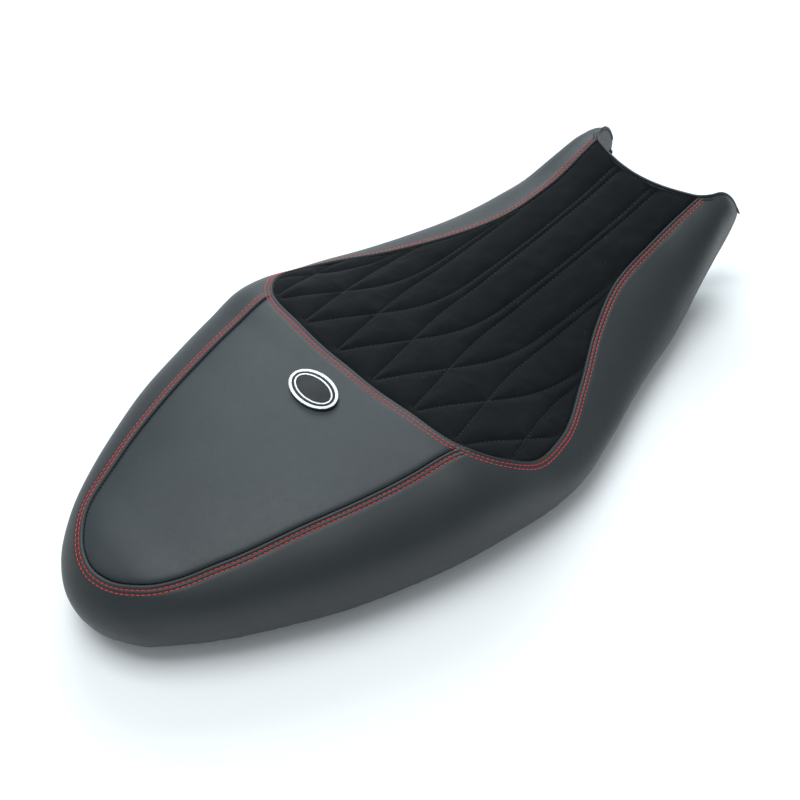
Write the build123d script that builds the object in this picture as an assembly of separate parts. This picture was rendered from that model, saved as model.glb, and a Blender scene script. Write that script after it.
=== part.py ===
from build123d import *
import math
import os

# Single motorcycle seat with a padded tail hump.
# Millimetres, +X towards the tank, +Y to the rider's left, +Z up.
# The origin is the centre of the footprint, on the plane that the rubber
# buffers stand on.

# ---------------------------------------------------------------- overall size
SEAT_LENGTH = 667.0          # tail tip to horn tips
SEAT_WIDTH = 330.0           # at the widest point, under the thighs
CROWN_HEIGHT = 64.0          # top of the tail hump above the widest line
WIDEST_LINE = 36.0           # height of the widest line above the buffers' feet
RIM_HEIGHT = 4.0             # height of the lower rim above the buffers' feet

# ---------------------------------------------------------------- soft layers
COVER = 2.0                  # leather or suede with its lining
FIT_GAP = 0.5                # between layers that only lie on each other
QUILT_FOAM = 8.0             # foam sewn behind the quilted suede
HEM_HEIGHT = 15.0            # hem of the cover up the inside of the pan's skirt

# ---------------------------------------------------------------- seat pan
PAN_WALL = 3.0
PAN_DEPTH = 24.0             # cover's rim to the top of the deck
RIB_WALL = 2.5
RIB_DEPTH = 7.0
RIB_PITCH = 84.0
DRAIN_DIAMETER = 8.0

# ---------------------------------------------------------------- tank cut-out
TANK_HALF_WIDTH = 60.0       # half width of the edge that follows the tank
TANK_HOLLOW = 15.0           # how far that edge is hollowed
HORN_LENGTH = 46.0           # horn tips ahead of the tank edge's corners
HORN_SPREAD = 14.0           # how far the horns' inner faces open out

# ---------------------------------------------------------------- fasteners
SCREW_THREAD = 5.0           # pan screws
SCREW_LENGTH = 10.0
SCREW_HEAD_DIAMETER = 9.5
SCREW_HEAD_HEIGHT = 2.75
HEX_SOCKET = 3.0
INSERT_DIAMETER = 7.0
INSERT_LENGTH = 7.0
BOSS_DIAMETER = 13.0
BOSS_DROP = 8.0              # deck's underside to the bosses' seats
BOLT_HOLE = 8.5              # for M8 bolts from the motorcycle's frame
BOLT_SPACING = 90.0
NUT_FLATS = 13.0
NUT_HEIGHT = 6.5
THREAD_GAP = 0.1

# ---------------------------------------------------------------- steel parts
PLATE = 3.0
BRACKET_LENGTH = 150.0       # across the seat
BRACKET_WIDTH = 34.0
BRACKET_SHARE = 0.215        # place of the rear bracket along the seat
TONGUE_WIDTH = 56.0
TONGUE_NECK = 36.0
TONGUE_SHARE = 0.765         # place of the tongue's rear screws along the seat
TONGUE_SCREW_PITCH = 34.0
TONGUE_REACH = 116.0         # rear screws to the tongue's front edge
TONGUE_LIP = 8.0             # turned-down front lip

# ---------------------------------------------------------------- rubber buffers
BUFFER_DIAMETER = 24.0
BUFFER_FOOT = 20.0
BUFFER_NECK = 8.0
BUFFER_HEAD = 14.0
BUFFER_HEAD_HEIGHT = 3.0
NECK_GAP = 0.15
BUFFERS = {                  # share of the length, distance from the centre line
    "rear": (0.115, 46.0),
    "middle": (0.44, 108.0),
    "front": (0.70, 76.0),
}

# ---------------------------------------------------------------- badge
BADGE_LENGTH = 30.0          # along the seat
BADGE_WIDTH = 46.0
BADGE_THICKNESS = 1.6
BADGE_RIM = 2.2
BADGE_PAD = 0.8
BADGE_SHARE = 0.336

# ---------------------------------------------------------------- staples
STAPLE_CROWN = 10.0
STAPLE_WIRE = 0.8
STAPLE_PITCH = 34.0

# ---------------------------------------------------------------- seams, plan view
# share of the length from the tail, share of the half width
TAIL_SEAM = [
    (0.0320, 0.0), (0.0364, 0.090), (0.0580, 0.222), (0.1324, 0.380),
    (0.2180, 0.495), (0.3112, 0.598), (0.4100, 0.672),
]
REAR_SEAM = [(0.4100, 0.672), (0.3940, 0.370), (0.3890, 0.164), (0.3890, 0.0)]
SIDE_SEAM = [
    (0.4100, 0.672), (0.4325, 0.785), (0.4710, 0.868), (0.5300, 0.838),
    (0.6130, 0.670), (0.6906, 0.490), (0.7553, 0.382), (0.8388, 0.344), (0.95, 0.352),
]

# ---------------------------------------------------------------- cross-sections
# share of the length, of the half width, of the crown; squareness of the
# shoulders; lift of the widest line and of the rim
NOSE_SHARES = (0.0009, 0.0037, 0.0097, 0.018, 0.030)
STATIONS = [
    (0.0555, 0.385, 0.594, 2.6, 0.0, 0.0),
    (0.1042, 0.525, 0.680, 2.9, 0.0, 0.0),
    (0.1567, 0.640, 0.773, 3.0, 0.0, 0.0),
    (0.2181, 0.758, 0.867, 3.0, 0.0, 0.0),
    (0.2841, 0.853, 0.930, 2.9, 0.0, 0.0),
    (0.3441, 0.921, 0.973, 3.0, 0.0, 0.0),
    (0.3921, 0.961, 1.000, 3.3, 0.0, 0.0),
    (0.4370, 0.985, 0.937, 3.2, -2.0, 0.0),
    (0.4820, 1.000, 0.867, 2.6, -5.0, 0.0),
    (0.5390, 0.991, 0.750, 2.1, -6.0, 0.0),
    (0.6064, 0.920, 0.680, 1.85, -6.0, 0.0),
    (0.6739, 0.832, 0.735, 1.8, -6.0, 0.0),
    (0.7414, 0.752, 0.813, 1.85, -6.0, 0.0),
    (0.8013, 0.691, 0.899, 2.1, -6.0, 1.0),
    (0.8538, 0.627, 0.922, 2.6, -2.0, 5.0),
    (0.8988, 0.573, 0.875, 3.7, 8.0, 14.5),
    (0.9363, 0.533, 0.789, 5.0, 18.0, 17.0),
    (0.9618, 0.509, 0.672, 5.0, 25.0, 22.0),
    (0.9828, 0.485, 0.453, 4.0, 30.0, 33.0),
    (0.9948, 0.467, 0.234, 3.0, 33.0, 46.0),
    (0.9993, 0.455, 0.094, 2.5, 34.0, 55.0),
]
NOSE_ROUNDNESS = 0.73        # half width squared over half width and distance
NOSE_RISE = 0.72             # crown squared over crown and distance
TUCK = 30.0                  # how the flank turns under, sideways
TUCK_DEPTH = 36.0            # the same, downwards
FULL_DROP = WIDEST_LINE - RIM_HEIGHT
UPPER_STEPS = 7
LOWER_STEPS = 2
TOOL = 400.0                 # cutting blocks reach past the seat
PAN_FRONT_SHARE = 0.90       # the pan and the hem end here; the horns are foam only

HALF_WIDTH = SEAT_WIDTH / 2
DECK_TOP = RIM_HEIGHT + PAN_DEPTH
DECK_UNDERSIDE = DECK_TOP - PAN_WALL
BOSS_SEAT = DECK_UNDERSIDE - BOSS_DROP
FRONT_CORNER = SEAT_LENGTH / 2 - HORN_LENGTH


def along(share):
    return (share - 0.5) * SEAT_LENGTH


class Station:
    """One cross-section of the outer shape, across the seat."""

    def __init__(self, share, half_width, crown, squareness, belly_lift, rim_lift):
        self.x = along(share)
        self.half_width = half_width
        self.crown = crown
        self.squareness = squareness
        self.belly = WIDEST_LINE + belly_lift
        self.rim = RIM_HEIGHT + rim_lift

    def outline(self, inset, floor, ceiling, mirror=1):
        """Points from the centre or the ceiling down one side to the floor."""
        width = max(self.half_width - inset, 0.6 * self.half_width)
        crown = max(self.crown - inset, 0.5 * self.crown)
        drop = self.belly - self.rim
        depth = TUCK_DEPTH * drop / FULL_DROP
        tuck = min(TUCK * drop / FULL_DROP, 0.9 * width)
        points = []
        if ceiling is None:
            for step in range(UPPER_STEPS):
                angle = math.pi / 2 * (1 - step / UPPER_STEPS)
                power = 2 / self.squareness
                across = width * abs(math.cos(angle)) ** power if step else 0.0
                points.append((across, self.belly + crown * math.sin(angle) ** power))
            start = 0.0
        else:
            start = math.asin(min(1.0, (self.belly - ceiling) / depth))
        end = math.asin(min(1.0, (self.belly - floor) / depth))
        steps = LOWER_STEPS if ceiling is None else LOWER_STEPS + 1
        for step in range(steps + 1):
            angle = start + (end - start) * step / steps
            across = width - tuck * (1 - math.cos(angle))
            points.append((across, self.belly - depth * math.sin(angle)))
        return [(self.x, mirror * across, height) for across, height in points]


def nose_station(share):
    """Round tail end: width and crown grow with the root of the distance."""
    distance = share * SEAT_LENGTH
    half_width = math.sqrt(NOSE_ROUNDNESS * HALF_WIDTH * distance)
    crown = math.sqrt(NOSE_RISE * CROWN_HEIGHT * distance)
    turn = max(0.0, 1 - distance / TUCK)
    drop = TUCK_DEPTH * math.sqrt(1 - turn * turn)
    return Station(share, half_width, crown, 2.0, 0.0, max(0.0, FULL_DROP - drop))


def all_stations():
    stations = [nose_station(share) for share in NOSE_SHARES]
    for share, width, crown, squareness, belly_lift, rim_lift in STATIONS:
        stations.append(Station(share, width * HALF_WIDTH, crown * CROWN_HEIGHT,
                                squareness, belly_lift, rim_lift))
    return stations


def body_loft(inset=0.0, end_inset=None, floor=0.0, ceiling=None):
    """Solid of the seat's shape, drawn in by inset.

    floor and ceiling are heights above the rim, which rises at both ends;
    without a ceiling the solid reaches up to the crown.
    """
    end_inset = inset if end_inset is None else end_inset
    squeeze = 1 - 2 * end_inset / SEAT_LENGTH
    wires = []
    for station in all_stations():
        low = min(station.rim + floor, station.belly - 1)
        top = None
        if ceiling is not None:
            top = min(station.rim + ceiling, station.belly - 1)
            low = min(low, top - 1)
        right = station.outline(inset, low, top, mirror=-1)
        left = station.outline(inset, low, top)
        if top is None:
            profile = Spline(*reversed(right[1:]), *left)
            edges = [profile, Line(left[-1], right[-1])]
        else:
            edges = [Spline(*reversed(right)), Line(right[0], left[0]),
                     Spline(*left), Line(left[-1], right[-1])]
        squeezed = [edge.moved(Location((-station.x * (1 - squeeze), 0, 0))) for edge in edges]
        wires.append(Wire(squeezed))
    return Solid.make_loft(wires)


def plan_points(points, side=1):
    return [(along(share), side * width * HALF_WIDTH) for share, width in points]


def prism(face, low, high):
    """Upright block over a plan outline."""
    return extrude(face.moved(Location((0, 0, low))), amount=high - low, dir=(0, 0, 1))


def seam_face(front_or_rear_seam, side_seam):
    """Plan face between a seam and its mirror image."""
    left = plan_points(side_seam)
    right = plan_points(side_seam, side=-1)
    across = plan_points(front_or_rear_seam) + plan_points(front_or_rear_seam[:-1], side=-1)[::-1]
    if side_seam[0][1] == 0.0:
        sides = [Spline(*right[::-1], *left[1:])]
    else:
        sides = [Spline(*left), Spline(*right), Line(left[-1], right[-1])]
    return make_face(Wire([Spline(*across), *sides]))


def tank_face(grow=0.0):
    """Plan region that the fuel tank takes between the horns."""
    ahead = SEAT_LENGTH / 2 + TOOL / 10
    spread = TANK_HALF_WIDTH + HORN_SPREAD * (ahead - FRONT_CORNER) / HORN_LENGTH
    edge = ThreePointArc((FRONT_CORNER, -TANK_HALF_WIDTH), (FRONT_CORNER - TANK_HOLLOW, 0),
                         (FRONT_CORNER, TANK_HALF_WIDTH))
    rest = Polyline((FRONT_CORNER, TANK_HALF_WIDTH), (ahead, spread),
                    (ahead, -spread), (FRONT_CORNER, -TANK_HALF_WIDTH))
    face = make_face(Wire([edge, *rest.edges()]))
    corners = [v for v in face.vertices() if abs(v.X - FRONT_CORNER) < 1e-3]
    face = fillet(corners, HORN_SPREAD)
    return offset(face, amount=grow) if grow else face


def tank_block(grow=0.0):
    return prism(tank_face(grow), -TOOL / 4, TOOL)


def horn_block(setback=0.0):
    """Everything ahead of the pan's front end."""
    return Pos(along(PAN_FRONT_SHARE) - setback + TOOL / 2, 0, 0) * Box(TOOL, TOOL, TOOL)


def surface_height(x):
    """Height of the outer shape on the centre line."""
    stations = all_stations()
    for rear, front in zip(stations, stations[1:]):
        if rear.x <= x <= front.x:
            part = (x - rear.x) / (front.x - rear.x)
            return (1 - part) * (rear.belly + rear.crown) + part * (front.belly + front.crown)
    raise ValueError("outside the seat")


def rim_point(x, inset, height):
    """Half width at a height above the rim, and the outline's direction in plan."""
    stations = all_stations()
    for rear, front in zip(stations, stations[1:]):
        if rear.x <= x <= front.x:
            ends = []
            for station in (rear, front):
                level = station.rim + height
                ends.append(Vector(*station.outline(inset, level, level + 1)[-1]))
            part = (x - rear.x) / (front.x - rear.x)
            return ends[0] + (ends[1] - ends[0]) * part, (ends[1] - ends[0]).normalized()
    raise ValueError("outside the seat")


def save(shape, name, colour):
    shape.label = name
    shape.color = Color(colour)
    export_step(shape, os.path.join("parts", name + ".step"))


def single(shape):
    """The one solid of a boolean's result."""
    return max(shape.solids(), key=lambda solid: solid.volume)


# ---------------------------------------------------------------- soft parts
TAIL_FACE = seam_face(REAR_SEAM, TAIL_SEAM)
SUEDE_FACE = seam_face(REAR_SEAM, SIDE_SEAM)
HEM_INSET = COVER + 2 * FIT_GAP + PAN_WALL
FOAM_INSET = COVER + FIT_GAP


def cover_panels():
    """Tail top, quilted seat, side band with its hem, and the wall at the tank."""
    outer = body_loft()
    inner = body_loft(inset=COVER, floor=COVER)
    hem = body_loft(inset=HEM_INSET, floor=COVER / 2, ceiling=HEM_HEIGHT) - horn_block()
    opening = body_loft(inset=HEM_INSET + COVER, floor=-COVER, ceiling=HEM_HEIGHT + COVER)
    opening = opening - horn_block(setback=COVER)
    shell = outer - (inner - hem) - opening - tank_block()
    tail_block = prism(TAIL_FACE, WIDEST_LINE, TOOL)
    suede_block = prism(SUEDE_FACE, WIDEST_LINE, TOOL)
    tail = single(shell & tail_block)
    suede = single(shell & suede_block)
    side = single(shell - tail_block - suede_block)
    wall = single((inner & tank_block(COVER)) - tank_block() - opening)
    return {"tail_top_panel": tail, "suede_seat_panel": suede,
            "side_cover_panel": side, "tank_wall_panel": wall}


def foam_parts(buffer_places):
    block = body_loft(inset=FOAM_INSET, floor=PAN_DEPTH + FIT_GAP) - tank_block(FOAM_INSET)
    under_quilt = body_loft(inset=FOAM_INSET + QUILT_FOAM, floor=PAN_DEPTH + FIT_GAP)
    bed = body_loft(inset=FOAM_INSET + QUILT_FOAM + FIT_GAP, floor=PAN_DEPTH + FIT_GAP)
    suede_block = prism(SUEDE_FACE, WIDEST_LINE, TOOL)
    quilt = single((block - under_quilt) & suede_block)
    pocket = suede_block - bed
    foam = single(block - pocket)
    recess = BUFFER_HEAD / 2 + FIT_GAP
    for x, y in buffer_places:
        foam -= Pos(x, y, DECK_TOP) * Cylinder(recess, 2 * (BUFFER_HEAD_HEIGHT + FIT_GAP))
    return {"foam_block": single(foam), "quilt_foam_layer": quilt}


# ---------------------------------------------------------------- seat pan
def screw_places():
    """Rear bracket's four screws, then the tongue's three."""
    bracket_x = along(BRACKET_SHARE)
    reach = BRACKET_LENGTH / 2 - BOSS_DIAMETER * 0.6
    bracket = [(bracket_x, side * reach) for side in (-1, 1)]
    bracket += [(bracket_x, side * (BOLT_SPACING / 2 - NUT_FLATS - BOSS_DIAMETER / 2))
                for side in (-1, 1)]
    tongue_x = along(TONGUE_SHARE)
    tongue = [(tongue_x, -TONGUE_SCREW_PITCH / 2), (tongue_x, TONGUE_SCREW_PITCH / 2),
              (tongue_x + TONGUE_SCREW_PITCH, 0)]
    return bracket, tongue


def seat_pan(buffer_places):
    blank = body_loft(inset=FOAM_INSET, floor=COVER + FIT_GAP, ceiling=PAN_DEPTH)
    hollow = body_loft(inset=FOAM_INSET + PAN_WALL, floor=-COVER, ceiling=PAN_DEPTH - PAN_WALL)
    blank = blank - horn_block(setback=COVER)
    hollow = hollow - horn_block(setback=COVER + PAN_WALL)
    pan = blank - hollow
    rib_space = body_loft(inset=FOAM_INSET + PAN_WALL / 2, ceiling=PAN_DEPTH - PAN_WALL / 2,
                          floor=PAN_DEPTH - PAN_WALL - RIB_DEPTH) - horn_block(setback=FOAM_INSET)
    bars = []
    count = int(SEAT_LENGTH / 2 / RIB_PITCH)
    for step in range(-count, count + 1):
        bars.append(Pos(step * RIB_PITCH, 0, 0) * Box(RIB_WALL, TOOL, TOOL))
    for step in (-1, 0, 1):
        bars.append(Pos(0, step * RIB_PITCH, 0) * Box(2 * TOOL, RIB_WALL, TOOL))
    ribs = Part() + bars
    clear = BUFFER_DIAMETER / 2 + 1
    for x, y in buffer_places:
        ribs -= Pos(x, y, 0) * Cylinder(clear, TOOL)
    ribs -= Pos(along(BRACKET_SHARE), 0, 0) * Box(BRACKET_WIDTH + 4, BRACKET_LENGTH + 4, TOOL)
    pan += ribs & rib_space
    bracket, tongue = screw_places()
    boss_height = DECK_TOP - BOSS_SEAT + PAN_DEPTH
    for x, y in bracket + tongue:
        boss = Pos(x, y, BOSS_SEAT + boss_height / 2) * Cylinder(BOSS_DIAMETER / 2, boss_height)
        pan += boss & blank
    for x, y in bracket + tongue:
        pan -= Pos(x, y, BOSS_SEAT) * Cylinder(INSERT_DIAMETER / 2, 2 * INSERT_LENGTH)
        pan -= Pos(x, y, BOSS_SEAT) * Cylinder(SCREW_THREAD / 2 + THREAD_GAP, 2 * SCREW_LENGTH)
    for x, y in buffer_places:
        pan -= Pos(x, y, DECK_TOP) * Cylinder(BUFFER_NECK / 2 + NECK_GAP, 3 * PAN_WALL)
    for step in range(-count + 1, count):
        x = (step + 0.5) * RIB_PITCH
        pan -= Pos(x, RIB_PITCH / 4, DECK_TOP) * Cylinder(DRAIN_DIAMETER / 2, PAN_DEPTH)
    return single(pan)


# ---------------------------------------------------------------- metal parts
def screw():
    """Button-head screw, its head below z = 0 and its shank above."""
    head = Pos(0, 0, -SCREW_HEAD_HEIGHT / 2) * Cylinder(SCREW_HEAD_DIAMETER / 2,
                                                        SCREW_HEAD_HEIGHT)
    head = fillet(head.edges().sort_by(Axis.Z)[0], SCREW_HEAD_HEIGHT * 0.6)
    shank = Pos(0, 0, SCREW_LENGTH / 2) * Cylinder(SCREW_THREAD / 2, SCREW_LENGTH)
    shank = chamfer(shank.edges().sort_by(Axis.Z)[-1], 0.5)
    hexagon = RegularPolygon(HEX_SOCKET / 2, 6, major_radius=False)
    socket = extrude(hexagon, amount=SCREW_HEAD_HEIGHT * 0.7)
    return head + shank - Pos(0, 0, -SCREW_HEAD_HEIGHT) * socket


def insert():
    """Knurled brass insert, open at both ends, standing on z = 0."""
    body = Pos(0, 0, INSERT_LENGTH / 2) * Cylinder(INSERT_DIAMETER / 2, INSERT_LENGTH)
    for height in (0.35, 0.65):
        ring = Cylinder(INSERT_DIAMETER / 2 + 1, 0.6) - Cylinder(INSERT_DIAMETER / 2 - 0.4, 0.6)
        body -= Pos(0, 0, height * INSERT_LENGTH) * ring
    bore = Cylinder(SCREW_THREAD / 2 + THREAD_GAP, INSERT_LENGTH)
    return body - Pos(0, 0, INSERT_LENGTH / 2) * bore


def at_places(solid, places, height):
    return Compound(children=[Pos(x, y, height) * solid for x, y in places])


def drilled(plate, places, diameter):
    for x, y in places:
        plate -= Pos(x, y, BOSS_SEAT) * Cylinder(diameter / 2, 6 * PLATE)
    return plate


def rear_bracket(places):
    """Cross plate with turned-up edges, drilled for its screws and the bolts."""
    x = along(BRACKET_SHARE)
    lip = BOSS_DROP / 2
    profile = Pos(x, 0, BOSS_SEAT - PLATE / 2) * Box(BRACKET_WIDTH, BRACKET_LENGTH, PLATE)
    plate = fillet(profile.edges().filter_by(Axis.Z), BRACKET_WIDTH / 4)
    straight = BRACKET_LENGTH - BRACKET_WIDTH
    for side in (-1, 1):
        edge = x + side * (BRACKET_WIDTH - PLATE) / 2
        plate += Pos(edge, 0, BOSS_SEAT + lip / 2 - PLATE / 2) * Box(PLATE, straight, lip + PLATE)
    plate = drilled(plate, places, SCREW_THREAD + 0.5)
    bolts = [(x, side * BOLT_SPACING / 2) for side in (-1, 1)]
    return single(drilled(plate, bolts, BOLT_HOLE)), bolts


def weld_nut():
    body = extrude(RegularPolygon(NUT_FLATS / 2, 6, major_radius=False), amount=NUT_HEIGHT)
    return body - Pos(0, 0, NUT_HEIGHT / 2) * Cylinder(BOLT_HOLE / 2, NUT_HEIGHT)


def front_tongue(places):
    """Flat hook that slides under the tank's bracket."""
    rear = along(TONGUE_SHARE) - BOSS_DIAMETER
    shoulder = along(TONGUE_SHARE) + TONGUE_SCREW_PITCH + BOSS_DIAMETER
    front = along(TONGUE_SHARE) + TONGUE_REACH
    wide = TONGUE_WIDTH / 2
    neck = TONGUE_NECK / 2
    outline = Polyline((rear, -wide), (shoulder - wide / 2, -wide), (shoulder, -neck),
                       (front, -neck), (front, neck), (shoulder, neck),
                       (shoulder - wide / 2, wide), (rear, wide), close=True)
    face = make_face(outline)
    face = fillet(face.vertices(), PLATE)
    plate = prism(face, BOSS_SEAT - PLATE, BOSS_SEAT)
    lip = Pos(front - PLATE / 2, 0, BOSS_SEAT - PLATE - TONGUE_LIP / 2)
    plate += lip * Box(PLATE, TONGUE_NECK - 2 * PLATE, TONGUE_LIP)
    return single(drilled(plate, places, SCREW_THREAD + 0.5))


def rubber_buffer():
    """Buffer standing on z = 0, its button head pushed through the deck."""
    foot = BUFFER_FOOT / 2
    body = BUFFER_DIAMETER / 2
    neck = BUFFER_NECK / 2
    head = BUFFER_HEAD / 2
    bevel = 1.5
    outline = Polyline(
        (0, 0), (foot - bevel, 0), (foot, bevel), (body, DECK_UNDERSIDE - FIT_GAP),
        (neck, DECK_UNDERSIDE - FIT_GAP), (neck, DECK_TOP + FIT_GAP), (head, DECK_TOP + FIT_GAP),
        (neck, DECK_TOP + BUFFER_HEAD_HEIGHT), (0, DECK_TOP + BUFFER_HEAD_HEIGHT), close=True)
    face = Plane.XZ * make_face(outline)
    return revolve(face, Axis.Z)


def badge_parts():
    """Plain oval badge that lies on the tail's top panel."""
    x = along(BADGE_SHARE)
    reach = BADGE_LENGTH / 2
    rise = surface_height(x + reach) - surface_height(x - reach)
    tilt = -math.degrees(math.atan2(rise, BADGE_LENGTH))
    place = Pos(x, 0, surface_height(x) + 2 * FIT_GAP) * Rot(0, tilt, 0)

    def oval(margin, low, high):
        face = Ellipse(BADGE_LENGTH / 2 - margin, BADGE_WIDTH / 2 - margin)
        return extrude(Pos(0, 0, low) * face, amount=high - low)

    top = BADGE_PAD + BADGE_THICKNESS
    floor = BADGE_PAD + BADGE_THICKNESS / 2
    pad = oval(1.0, 0, BADGE_PAD)
    groove = oval(BADGE_RIM, floor, top + 1)
    plate = oval(0, BADGE_PAD, top) - groove
    ring = oval(2 * BADGE_RIM, floor, top) - oval(2 * BADGE_RIM + 1.2, floor, top)
    enamel = oval(BADGE_RIM, floor, top - 0.2) - ring
    return {"badge_pad": place * pad, "badge_plate": place * plate,
            "badge_enamel": Compound(children=(place * enamel).solids()),
            "badge_ring": place * ring}


def cover_staples():
    """Crowns of the staples that hold the hem to the inside of the pan's skirt."""
    staple = Pos(0, -STAPLE_WIRE, 0) * Box(STAPLE_CROWN, STAPLE_WIRE, STAPLE_WIRE)
    staples = []
    count = int(0.42 * SEAT_LENGTH / STAPLE_PITCH)
    for step in range(-count, count + 1):
        point, direction = rim_point(step * STAPLE_PITCH, HEM_INSET + COVER, HEM_HEIGHT / 2)
        turn = math.degrees(math.atan2(direction.Y, direction.X))
        left = Pos(point.X, point.Y, point.Z) * Rot(0, 0, turn) * staple
        staples.append(left)
        staples.append(mirror(left, Plane.XZ))
    return Compound(children=staples)


# ---------------------------------------------------------------- assembly
os.makedirs("parts", exist_ok=True)

buffer_places = {}
for row, (share, offset_y) in BUFFERS.items():
    for side, sign in (("left", 1), ("right", -1)):
        buffer_places[f"buffer_{row}_{side}"] = (along(share), sign * offset_y)

for name, panel in cover_panels().items():
    save(panel, name, "gray20")
for name, foam in foam_parts(buffer_places.values()).items():
    save(foam, name, "khaki")
save(seat_pan(buffer_places.values()), "seat_pan", "gray40")

bracket_screws, tongue_screws = screw_places()
bracket, bolt_places = rear_bracket(bracket_screws)
save(bracket, "rear_bracket", "steelblue")
save(front_tongue(tongue_screws), "front_tongue", "steelblue")
save(at_places(weld_nut(), bolt_places, BOSS_SEAT), "weld_nuts", "silver")
for owner, places in (("bracket", bracket_screws), ("tongue", tongue_screws)):
    save(at_places(insert(), places, BOSS_SEAT), f"{owner}_inserts", "gold")
    save(at_places(screw(), places, BOSS_SEAT - PLATE), f"{owner}_screws", "silver")
for name, (x, y) in buffer_places.items():
    save(Pos(x, y, 0) * rubber_buffer(), name, "black")
for name, solid in badge_parts().items():
    save(solid, name, "silver")
save(cover_staples(), "cover_staples", "silver")
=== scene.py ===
"""Looks of the single motorcycle seat: sewn covers, quilting, stitches, trim and hardware."""
import math

import bpy
import numpy as np
from mathutils import Matrix, Vector, geometry, kdtree, noise


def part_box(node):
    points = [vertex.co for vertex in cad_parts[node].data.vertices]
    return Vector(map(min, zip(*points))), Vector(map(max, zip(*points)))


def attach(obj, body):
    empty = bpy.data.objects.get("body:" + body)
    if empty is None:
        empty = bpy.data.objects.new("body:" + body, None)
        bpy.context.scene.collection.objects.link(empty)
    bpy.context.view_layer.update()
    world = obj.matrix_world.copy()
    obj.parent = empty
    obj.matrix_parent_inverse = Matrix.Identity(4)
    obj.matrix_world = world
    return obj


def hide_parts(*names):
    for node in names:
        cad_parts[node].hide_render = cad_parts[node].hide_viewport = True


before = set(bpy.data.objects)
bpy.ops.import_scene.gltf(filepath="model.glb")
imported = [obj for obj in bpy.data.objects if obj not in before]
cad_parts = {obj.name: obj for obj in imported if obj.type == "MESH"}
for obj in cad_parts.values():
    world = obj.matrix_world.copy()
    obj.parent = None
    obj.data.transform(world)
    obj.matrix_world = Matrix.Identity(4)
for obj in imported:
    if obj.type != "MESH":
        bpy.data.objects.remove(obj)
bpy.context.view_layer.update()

MM = 0.001
BODY = "root"

# ================================================================ shape of the seat, millimetres
# Read off the CAD frame: the side cover spans the whole seat.
side_low, side_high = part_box("side_cover_panel")
TAIL_X = side_low.x / MM - 0.6
FRONT_X = side_high.x / MM + 0.4
LENGTH = FRONT_X - TAIL_X
HALF_WIDTH = (side_high.y - side_low.y) / 2 / MM
WIDEST_LINE = 36.0           # height of the widest line
RIM = side_low.z / MM        # height of the lower rim
CROWN = 64.0                 # tail hump above the widest line
TUCK, TUCK_DEPTH = 30.0, 36.0
FULL_DROP = WIDEST_LINE - RIM
NOSE_ROUNDNESS, NOSE_RISE = 0.73, 0.72

# share of the length, of the half width, of the crown; squareness of the shoulders;
# lift of the widest line and of the rim
STATIONS = [
    (0.0555, 0.385, 0.594, 2.6, 0, 0), (0.1042, 0.525, 0.680, 2.9, 0, 0),
    (0.1567, 0.640, 0.773, 3.0, 0, 0), (0.2181, 0.758, 0.867, 3.0, 0, 0),
    (0.2841, 0.853, 0.930, 2.9, 0, 0), (0.3441, 0.921, 0.973, 3.0, 0, 0),
    (0.3921, 0.961, 1.000, 3.3, 0, 0), (0.4370, 0.985, 0.937, 3.2, -2, 0),
    (0.4820, 1.000, 0.867, 2.6, -5, 0), (0.5390, 0.991, 0.750, 2.1, -6, 0),
    (0.6064, 0.920, 0.680, 1.85, -6, 0), (0.6739, 0.832, 0.735, 1.8, -6, 0),
    (0.7414, 0.752, 0.813, 1.85, -6, 0), (0.8013, 0.691, 0.899, 2.1, -6, 1),
    (0.8538, 0.627, 0.922, 2.6, -2, 5), (0.8988, 0.573, 0.875, 3.7, 8, 14.5),
    (0.9363, 0.533, 0.789, 5.0, 18, 17), (0.9618, 0.509, 0.672, 5.0, 25, 22),
    (0.9828, 0.485, 0.453, 4.0, 30, 33), (0.9948, 0.467, 0.234, 3.0, 33, 46),
    (0.9993, 0.455, 0.094, 2.5, 34, 55), (1.0010, 0.450, 0.040, 2.5, 34, 58),
]
TAIL_SEAM = [(0.0320, 0.0), (0.0364, 0.090), (0.0580, 0.222), (0.1324, 0.380),
             (0.2180, 0.495), (0.3112, 0.598), (0.4100, 0.672)]
REAR_SEAM = [(0.4100, 0.672), (0.3940, 0.370), (0.3890, 0.164), (0.3890, 0.0)]
SIDE_SEAM = [(0.4100, 0.672), (0.4325, 0.785), (0.4710, 0.868), (0.5300, 0.838),
             (0.6130, 0.670), (0.6906, 0.490), (0.7553, 0.382), (0.8388, 0.344), (0.93, 0.350)]
TANK_HALF_WIDTH, TANK_HOLLOW = 60.0, 15.0
HORN_LENGTH, HORN_SPREAD = 46.0, 14.0


def hermite(xs, ys):
    """Smooth curve through given points, as a function of x."""
    xs, ys = np.array(xs, float), np.array(ys, float)
    step = np.diff(xs)
    slope = np.diff(ys) / step
    inner = (slope[:-1] * step[1:] + slope[1:] * step[:-1]) / (step[:-1] + step[1:])
    tangents = np.concatenate([slope[:1], inner, slope[-1:]])

    def curve(x):
        x = np.clip(x, xs[0], xs[-1])
        i = np.clip(np.searchsorted(xs, x) - 1, 0, len(step) - 1)
        t = (x - xs[i]) / step[i]
        rise, lean = t * t * (3 - 2 * t), t * (1 - t)
        return (ys[i] * (1 - rise) + ys[i + 1] * rise
                + step[i] * lean * ((1 - t) * tangents[i] - t * tangents[i + 1]))
    return curve


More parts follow.
